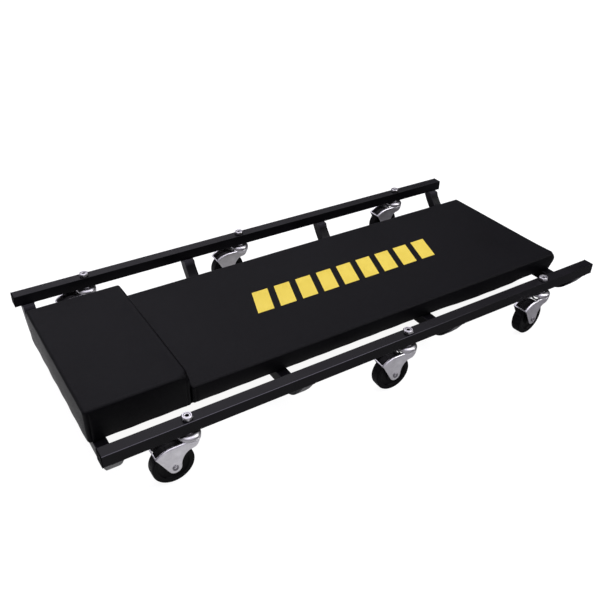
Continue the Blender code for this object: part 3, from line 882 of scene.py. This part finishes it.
def make_underside():
    """The board, the cover's hem folded under it, and the staples through the hem."""
    low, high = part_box("base_board")
    hem_thickness, hem_width = 0.0006, 0.034
    outline = round_rectangle((high[0] - low[0]) / 2, (high[1] - low[1]) / 2, 0.010, 6)
    middle_x = (low[0] + high[0]) / 2
    board = loft([[Vector((middle_x + u, v, z)) for u, v in outline]
                  for z in (low[2] + hem_thickness, high[2])])
    piece("plywood_board", mesh_of("plywood_board", board), "plywood", ["base_board"])
    pad_low = Vector(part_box("headrest_cushion")[0])
    pad_high = Vector(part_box("main_cushion")[1])
    margin = 0.0045
    outer_x = (pad_low[0] + margin, pad_high[0] - margin * 1.6)
    outer_y = min(-pad_low[1], pad_high[1]) - margin
    strips = []
    staples = []
    xs = spaced(*outer_x, 180)
    ys = spaced(-outer_y, outer_y, 60)
    for side in (-1, 1):
        outer = [(x, side * outer_y) for x in xs]
        inner = [(x, side * (outer_y - hem_width - 0.0022 * noise.noise(Vector((x * 22, side * 3.1, 0.5)))))
                 for x in xs]
        strips.append(strip_mesh(outer, inner, hem_thickness))
        staples += [(x, side * (outer_y - 0.022), 0.0) for x in np.arange(-0.41, 0.43, STAPLE_PITCH)]
    for end, sign in ((0, 1), (1, -1)):
        outer = [(outer_x[end], y) for y in ys]
        inner = [(outer_x[end] + sign * (hem_width + 0.002 * noise.noise(Vector((y * 22, end * 5.3, 1.5)))), y)
                 for y in ys]
        strips.append(moved(strip_mesh(outer, inner, hem_thickness), Matrix.Translation((0, 0, -0.0002))))
        staples += [(outer_x[end] + sign * 0.006, y, math.pi / 2) for y in np.arange(-0.10, 0.11, 0.04)]
    hem = mesh_of("cover_hem", merged(strips))
    piece("cover_hem", hem, "vinyl", matrix=Matrix.Translation((0, 0, low[2])))
    make_staples(staples, low[2])


def make_staples(places, board_bottom):
    """Upholstery staples: a flat crown with its ends turned up into the board."""
    path = [(-0.0048, 0.0012), (-0.0048, 0.0002), (-0.0044, 0.0), (0.0044, 0.0), (0.0048, 0.0002),
            (0.0048, 0.0012)]
    section = [(-0.0006, 0.0), (0.0006, 0.0), (0.0006, 0.0005), (-0.0006, 0.0005)]
    bays = [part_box(f"cross_member_{number}") for number in MEMBERS]
    wires = []
    for x, y, turn in places:
        if any(low[0] - 0.004 < x < high[0] + 0.004 for low, high in bays):
            continue
        skew = 0.25 * noise.noise(Vector((x * 90, y * 70, 2.0)))
        place = Matrix.Translation((x, y, board_bottom - 0.0004)) @ Matrix.Rotation(turn + skew, 4, "Z")
        wires.append(moved(loft([[Vector((u, v, z + w)) for v, w in section] for u, z in path]), place))
    piece("hem_staples", mesh_of("hem_staples", merged(wires)), "steel")


def screw_mesh():
    """A pan-head screw from below, with a cross recess, its head's upper face at z = 0."""
    radius = 0.0052
    head = turned(((0.0022, 0.012), (0.0022, 0.0), (radius, 0.0), (radius, -0.0008), (radius * 0.93, -0.0019),
                   (radius * 0.74, -0.0027), (radius * 0.45, -0.0031), (radius * 0.2, -0.0032)), 40)
    for turn in (0.0, math.pi / 2):
        slot = loft([[Vector((u, v, z)) for u, v in round_rectangle(0.0026 - taper, 0.00055, 0.0004, 2)]
                     for z, taper in ((-0.0040, 0.0), (-0.0012, 0.0014))])
        head = cut(head, moved(slot, Matrix.Rotation(turn, 4, "Z")))
    return mesh_of("pad_screw", head, 30)


def make_pad_screws():
    """Two screws through each cross member. The CAD has those of the two end ones."""
    mesh = screw_mesh()
    screw_y = abs(middle("pad_screw_head_near")[1])
    for number in MEMBERS:
        x = middle(f"cross_member_{number}")[0]
        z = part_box(f"cross_member_{number}")[0][2]
        for side_name, side in SIDES:
            spot = Matrix.Translation((x, side * screw_y, z))
            turn = Matrix.Rotation(0.7 * number + side, 4, "Z")
            end = {1: "head", 4: "foot"}.get(number)
            stands_for = [f"pad_screw_{end}_{side_name}"] if end else []
            piece(f"screw_{number}_{side_name}", mesh, "steel", stands_for, spot @ turn)


# Printed stripes

def stripe_corners():
    """Plan corners of the stripes of a plain slanted band, in metres: (x, y) four at a time."""
    band_low, band_high = -0.026, 0.032
    start, end, count = -0.128, 0.262, 9
    pitch = (end - start) / count
    slant = 0.020
    for i in range(count):
        x0 = start + pitch * i
        x1 = x0 + pitch * 0.70
        yield (x0, band_low), (x1, band_low), (x1 + slant, band_high), (x0 + slant, band_high)


def make_stripes(pad):
    """Slanted stripes of ink on the main cushion, following its surface."""
    tree = BVHTree.FromPolygons(
        [v.co for v in pad.data.vertices], [p.vertices for p in pad.data.polygons]
    )
    film = 0.00012
    columns, rows = 10, 26
    stripes = []
    for a, b, c, d in stripe_corners():
        built = bmesh.new()
        layers = []
        for lift in (film, -0.0003):
            grid = []
            for v in spaced(0, 1, rows):
                line = []
                for u in spaced(0, 1, columns):
                    x = (a[0] * (1 - u) + b[0] * u) * (1 - v) + (d[0] * (1 - u) + c[0] * u) * v
                    y = (a[1] * (1 - u) + b[1] * u) * (1 - v) + (d[1] * (1 - u) + c[1] * u) * v
                    hit = tree.ray_cast(Vector((x, y, 0.2)), Vector((0, 0, -1)))[0]
                    line.append(built.verts.new((x, y, hit.z + lift)))
                grid.append(line)
            layers.append(grid)
        for grid in layers:
            for j in range(rows):
                for i in range(columns):
                    built.faces.new((grid[j][i], grid[j][i + 1], grid[j + 1][i + 1], grid[j + 1][i]))
        rim = [(0, i) for i in range(columns)] + [(j, columns) for j in range(rows)]
        rim += [(rows, i) for i in range(columns, 0, -1)] + [(j, 0) for j in range(rows, 0, -1)]
        for (j, i), (nj, ni) in neighbours(rim):
            built.faces.new((layers[0][j][i], layers[0][nj][ni], layers[1][nj][ni], layers[1][j][i]))
        bmesh.ops.recalc_face_normals(built, faces=built.faces)
        stripes.append(built)
    piece("printed_stripes", mesh_of("printed_stripes", merged(stripes)), "print")


# Casters

def caster_facts(name):
    """(stem's plan point, how far the fork is turned, axle's point, trail) of one caster."""
    stem = Vector((*middle(f"kingpin_{name}")[:2], 0))
    spin = next(j for j in frame["joints"] if j["name"] == f"wheel_{name}_spin")
    axis = spin["axis"]
    axle = Vector(spin["pos_m"])
    turn = math.atan2(-axis[0], axis[1])
    return stem, turn, axle, (axle.xy - stem.xy).length


def nut_mesh(height):
    """A thin hexagon nut with both ends chamfered and a countersunk bore, standing on z = 0."""
    flat, bore = 0.00715, 0.0050
    corner = flat / math.cos(math.pi / 6)
    sides = ((flat * 0.95, 0.0), (flat * 1.03, 0.0004), (corner, 0.0009), (corner, height - 0.0016),
             (flat * 1.06, height - 0.0009), (flat * 0.97, height - 0.0003), (flat * 0.90, height))
    hole = ((bore + 0.0002, height), (bore, height - 0.0003), (bore, 0.0006))
    rings = [ring(lambda _: bore + 0.0006, 0.0, 96)]
    rings += [ring(lambda a: min(flat / math.cos((a % (math.pi / 3)) - math.pi / 6), cone), z, 96)
              for cone, z in sides]
    rings += [ring(lambda _: radius, z, 96) for radius, z in hole]
    return mesh_of("nut", loft(rings, closed=True), 25)


def pin_mesh(low_z, high_z, rail_bottom, cap_top, crown_top):
    """Stem with its socket, threads where it leaves the rail, shoulder under the rail, shank and riveted end."""
    stem, shank, shoulder, socket = 0.0047, 0.0049, 0.0075, 0.0028
    under = crown_top - SHEET - PAD_GAP
    over, seat = cap_top + PAD_GAP, rail_bottom - PAD_GAP
    profile = [(0.0001, low_z), (0.0030, low_z), (0.0046, low_z + 0.0004), (0.0066, low_z + 0.0013),
               (shoulder, low_z + 0.0022), (shoulder, under), (shank, under), (shank, over),
               (shoulder - 0.0003, over), (shoulder, over + 0.0003), (shoulder, rail_bottom - 0.0005),
               (shoulder - 0.0003, seat), (stem - 0.0002, seat)]
    z = high_z - 0.0100
    while z < high_z - 0.0020:
        profile += [(stem - 0.0005, z), (stem, z + 0.0004), (stem, z + 0.0006)]
        z += 0.0010
    profile += [(stem, high_z - 0.0006), (stem - 0.0005, high_z), (socket + 0.0004, high_z)]
    outside = turned(profile + [(0.0001, high_z)], 48)
    hole = turned(((0.0001, high_z - 0.0090), (socket, high_z - 0.0070), (socket, high_z - 0.0005),
                   (socket + 0.0010, high_z + 0.0005)), 32)
    mesh = mesh_of("pin", cut(outside, hole), 30)
    mesh.materials.append(FINISHES["nut"][0])
    mesh.materials.append(FINISHES["nylon"][0])
    # The socket's walls take the dark hub plastic: painted shade down the hole.
    for polygon in mesh.polygons:
        inside = polygon.center.xy.length < socket + 0.0001 and abs(polygon.normal.z) < 0.8
        if inside and polygon.center.z > high_z - 0.0095 and polygon.center.z < high_z - 0.0006:
            polygon.material_index = 1
    return mesh


def cap_mesh(bottom, top):
    """The upper race's pressed dome, with a full round shoulder and a flat by the stem."""
    radius, sheet, bore = 0.0170, 0.0013, 0.0055
    belly = bottom + 0.0018
    outer = [(radius - 0.0004, bottom), (radius - 0.0001, bottom + 0.0008)]
    outer += [(radius - 0.0066 * (1 - c), belly + (top - belly) * s) for c, s in quarter(12)]
    outer += [(bore + 0.0004, top), (bore, top - 0.0004), (bore, top - sheet)]
    inner = [(radius - 0.0066, top - sheet - 0.0002), (radius - 0.0030, top - sheet - 0.0014),
             (radius - sheet, belly), (radius - sheet - 0.0002, bottom)]
    return mesh_of("cap", turned(outer + inner, 72, True), 30)


def leg_outline(trail, axle_z, crown_top):
    """(x, z) of the flat of a leg, below the fold along its upper edge."""
    axle = (-trail, axle_z)
    tangent = REAR_ANGLE + math.acos(BOSS_RADIUS / RIM_RADIUS)
    flat = RIM_RADIUS - FOLD_RADIUS
    points = [(0.0100, crown_top - FOLD_RADIUS)]
    points += arc(axle, flat, math.radians(90), REAR_ANGLE, 16)
    points += arc(axle, BOSS_RADIUS, tangent, math.radians(360), 18)
    reach = (BOSS_RADIUS - trail, 0.0537 - axle_z)
    points += [(reach[0] * c, axle_z + reach[1] * s) for c, s in quarter(12)[1:]]
    return points + [(0.0035, 0.0546), (0.0062, 0.0566), (0.0085, 0.0600), (0.0098, 0.0635)]


def rim_path(trail, axle_z):
    """(point, outward direction, forward shift) along a leg's upper edge, from the crown to the rear corner."""
    path = [(Vector((-trail + RIM_RADIUS * s, 0, axle_z + RIM_RADIUS)), Vector((0, 0, 1)))
            for s in (0.50, 0.30, 0.12)]
    for angle in np.linspace(math.pi / 2, REAR_ANGLE, 22):
        out = Vector((math.cos(angle), 0, math.sin(angle)))
        path.append((Vector((-trail, 0, axle_z)) + out * RIM_RADIUS, out))
    return path


def fold_section(side):
    """(y, depth below the rim) of the sheet where a leg folds in over the wheel."""
    outer, inner = FORK_HALF_WIDTH, OPENING_HALF_WIDTH
    tight = FOLD_RADIUS - SHEET
    points = [(outer, FOLD_RADIUS + 0.0012)]
    points += [(outer - FOLD_RADIUS * (1 - c), FOLD_RADIUS * (1 - s)) for c, s in quarter(6)]
    points += [(inner + 0.0004, 0.0), (inner, 0.0005), (inner, SHEET - 0.0005), (inner + 0.0004, SHEET)]
    points += [(outer - FOLD_RADIUS, SHEET), (outer - SHEET - tight * 0.3, SHEET + tight * 0.3)]
    points += [(outer - SHEET, FOLD_RADIUS), (outer - SHEET, FOLD_RADIUS + 0.0012)]
    return [(side * y, depth) for y, depth in points]


def fold_mesh(trail, axle_z, side):
    return loft([[point + Vector((0, y, 0)) - out * depth for y, depth in fold_section(side)]
                 for point, out in rim_path(trail, axle_z)])


def strip_across(trail, axle_z):
    """The narrow strip of sheet that joins the two folds behind the wheel."""
    back = REAR_STRIP / RIM_RADIUS
    axle = (-trail, axle_z)
    outer = arc(axle, RIM_RADIUS, REAR_ANGLE - back, REAR_ANGLE, 2)
    inner = arc(axle, RIM_RADIUS - SHEET, REAR_ANGLE, REAR_ANGLE - back, 2)
    return prism(outer + inner, -OPENING_HALF_WIDTH - 0.001, OPENING_HALF_WIDTH + 0.001)


def fork_mesh(trail, axle_z, crown_top):
    """The pressed yoke: crown, two legs folded in over the wheel and the strip behind it, as one skin."""
    inside = FORK_HALF_WIDTH - SHEET
    parts = [strip_across(trail, axle_z)]
    for side in (-1, 1):
        low, high = sorted((side * inside, side * FORK_HALF_WIDTH))
        parts.append(prism(leg_outline(trail, axle_z, crown_top), low, high))
        parts.append(fold_mesh(trail, axle_z, side))
    profile = ((0.0056, crown_top), (CROWN_RADIUS - 0.0006, crown_top), (CROWN_RADIUS, crown_top - 0.0008),
               (CROWN_RADIUS - 0.0003, crown_top - 0.0030), (CROWN_RADIUS - 0.0022, 0.0608),
               (0.0128, 0.0584), (0.0108, 0.0568), (0.0088, 0.0580), (0.0104, 0.0605),
               (inside, crown_top - SHEET), (0.0056, crown_top - SHEET))
    bowl = turned(profile, 56, True)
    mouth = loft([[Vector((x, y, z)) for x, y in ((-0.030, -inside), (-0.0105, -inside), (-0.0105, inside),
                                                   (-0.030, inside))] for z in (0.030, 0.09)])
    parts.append(cut(bowl, mouth))
    body = mesh_from(merged(parts))
    final = evaluated("fork", body, [
        ("REMESH", {"mode": "VOXEL", "voxel_size": FORK_VOXEL}),
        ("SMOOTH", {"factor": 0.5, "iterations": 7}),
        ("DECIMATE", {"ratio": 0.30}),
    ])
    bpy.data.meshes.remove(body)
    final.shade_smooth()
    final.set_sharp_from_angle(angle=math.radians(60))
    return final


def rivet_mesh(half_length):
    """The axle: a tube rivet with a rolled head at each end, along Y."""
    bore, radius, head = 0.0020, 0.0036, 0.0045
    face = half_length - 0.0014
    end = [(r, face + out) for r, out in (
        (radius, 0.0), (head - 0.0003, 0.0), (head, 0.0004), (head - 0.0002, 0.0009), (head - 0.0009, 0.0014),
        (head - 0.0018, 0.0013), (bore + 0.0005, 0.0006), (bore, -0.0004), (bore, -0.0030), (0.0001, -0.0032))]
    profile = end[::-1] + [(r, -y) for r, y in end]
    return mesh_of("rivet", across(turned(profile, 48)), 35)


def hub_mesh(half_length):
    bore, radius = 0.00415, 0.0074
    end = [(bore, -half_length), (radius - 0.0004, -half_length), (radius, -half_length + 0.0004)]
    profile = end + [(r, -y) for r, y in end[::-1]]
    return mesh_of("hub", across(turned(profile, 48, True)), 35)


def wheel_mesh(radius, half_width):
    """Hard wheel: a level tread with its mould line, round shoulders, a raised rim and a dished web."""
    shoulder = 0.0024
    face = ((0.0078, 0.0002), (0.0108, 0.0002), (0.0116, 0.0006), (0.0124, 0.0022), (0.0136, 0.0030),
            (0.0205, 0.0026), (0.0218, 0.0020), (0.0226, 0.0006), (0.0233, 0.0001), (0.0262, 0.0),
            (0.0268, 0.0003), (0.0274, 0.0))
    half = [(r, half_width - depth) for r, depth in face]
    half += [(radius - shoulder + shoulder * s - 0.00002, half_width - shoulder + shoulder * c)
             for c, s in quarter(7)]
    half += [(radius - 0.00001, half_width * 0.4), (radius, 0.00035), (radius + 0.00012, 0.0002)]
    profile = half + [(r, -y) for r, y in half[::-1]]
    return mesh_of("wheel", across(turned(profile, 120, True)), 28)


def make_casters():
    rail_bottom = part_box("rail_near")[0][2]
    sample = CASTERS[0]
    nut_low, nut_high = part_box(f"lock_nut_{sample}")
    pin_low, pin_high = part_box(f"kingpin_{sample}")
    cap_low, cap_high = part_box(f"race_cap_{sample}")
    crown_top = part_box(f"fork_{sample}")[1][2]
    _, _, axle, trail = caster_facts(sample)
    nut = nut_mesh(nut_high[2] - nut_low[2])
    pin = pin_mesh(pin_low[2], pin_high[2], rail_bottom, cap_high[2], crown_top)
    cap = cap_mesh(cap_low[2], cap_high[2])
    fork = fork_mesh(trail, axle.z, crown_top)
    rivet = rivet_mesh(FORK_HALF_WIDTH + 0.0016)
    hub = hub_mesh(0.0115)
    wheel = wheel_mesh(axle.z - 0.00012, 0.0085)
    for index, name in enumerate(CASTERS):
        stem, turn, axle, _ = caster_facts(name)
        upright = Matrix.Translation(stem)
        swivel = upright @ Matrix.Rotation(turn, 4, "Z")
        hung = Matrix.Translation(axle) @ Matrix.Rotation(turn, 4, "Z")
        tightened = Matrix.Rotation(math.radians(23 + 37 * index), 4, "Z")
        lifted = Matrix.Translation((0, 0, nut_low[2]))
        rolled = hung @ Matrix.Rotation(math.radians(90 * index), 4, "Y")
        swivel_body, wheel_body = f"swivel_{name}", f"wheel_{name}"
        for label, mesh, finish, stands_for, matrix, body in (
            (f"nut_{name}", nut, "nut", "lock_nut", upright @ lifted @ tightened, "frame"),
            (f"pin_{name}", pin, "nut", "kingpin", upright, "frame"),
            (f"cap_{name}", cap, "chrome", "race_cap", upright, "frame"),
            (f"yoke_{name}", fork, "zinc", "fork", swivel, swivel_body),
            (f"rivet_{name}", rivet, "steel", "axle", hung, swivel_body),
            (f"hub_{name}", hub, "nylon", "wheel_hub", rolled, wheel_body),
            (f"wheel_{name}_body", wheel, "tyre", "tyre", rolled, wheel_body),
        ):
            piece(label, mesh, finish, [f"{stands_for}_{name}"], matrix, body)


# Stage

def make_stage():
    """A white floor, soft light from above, two lamps and the camera."""
    built = bmesh.new()
    bmesh.ops.create_grid(built, x_segments=2, y_segments=2, size=8.0)
    mesh = mesh_of("floor", built)
    mesh.materials.append(floor_finish())
    placed("floor", mesh)
    bpy.context.scene.world = studio_world()
    add_light("key", (1.2, -0.6, 2.0), (0.0, 0.0, 0.0), 1.0, 10.0)
    add_light("side", (1.6, -1.1, 1.2), (0.0, -0.2, 0.05), 0.7, 5.0)
    camera_data = bpy.data.cameras.new("camera")
    camera_data.lens = CAMERA_LENS
    camera_data.sensor_width = CAMERA_SENSOR
    camera = placed("camera", camera_data)
    camera.location = CAMERA_PLACE
    camera.rotation_euler = [math.radians(a) for a in CAMERA_TURN]
    bpy.context.scene.camera = camera
    bpy.context.scene.view_settings.view_transform = "Standard"


def studio_world():
    """Soft light from above, dimmer towards the foot end, with low panels of light at the near side and head."""
    world = bpy.data.worlds.new("studio")
    world.use_nodes = True
    sky = Nodes(world.node_tree)
    background = sky.tree.nodes["Background"]
    seen = sky.add("LightPath").outputs["Is Camera Ray"]
    color = sky.mixed(seen, (0.97, 0.94, 1.04), (1.0, 1.0, 1.0))
    axes = sky.axes(sky.add("TexCoord").outputs["Generated"])
    strength = sky.ranged(axes["Z"], 0.02, 1.0, 0.38, 0.58)
    for axis, low, high, start, end in (("X", 2.25, 0.06, 0.37, 0.74), ("X", 0.15, 1.0, -0.70, -0.15),
                                        ("Y", 0.30, 1.0, -0.60, 0.0)):
        strength = sky.product(strength, sky.ranged(axes[axis], low, high, start, end))
    near = sky.ranged(axes["Y"], 1.0, 0.0, -0.70, -0.20)
    head = sky.ranged(axes["X"], 1.0, 0.0, -0.75, -0.30)
    panels = sky.product(sky.ranged(axes["Z"], 0.0, 0.42, 0.0, 0.14), sky.total(near, head, "MAXIMUM"))
    panels = sky.product(panels, sky.ranged(axes["X"], 1.0, 0.35, 0.15, 0.55))
    strength = sky.total(sky.total(strength, panels, "MAXIMUM"), seen, "MAXIMUM")
    sky.tree.links.new(color, background.inputs["Color"])
    sky.tree.links.new(strength, background.inputs["Strength"])
    return world


def add_light(name, place, target, size, power):
    data = bpy.data.lights.new(name, "AREA")
    data.shape = "DISK"
    data.size = size
    data.energy = power
    light = placed(name, data)
    light.location = place
    light.rotation_euler = (Vector(target) - Vector(place)).to_track_quat("-Z", "Y").to_euler()


def main():
    make_stage()
    make_rails()
    make_plugs()
    make_cross_members()
    make_underside()
    make_pad_screws()
    board_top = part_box("base_board")[1][2]
    pad = make_cushion(Cushion("main_pad", "main_cushion", 1, 0.0095, 0.009), board_top)
    make_cushion(Cushion("headrest_pad", "headrest_cushion", -1, 0.0080, 0.010), board_top)
    make_stripes(pad)
    make_casters()


main()
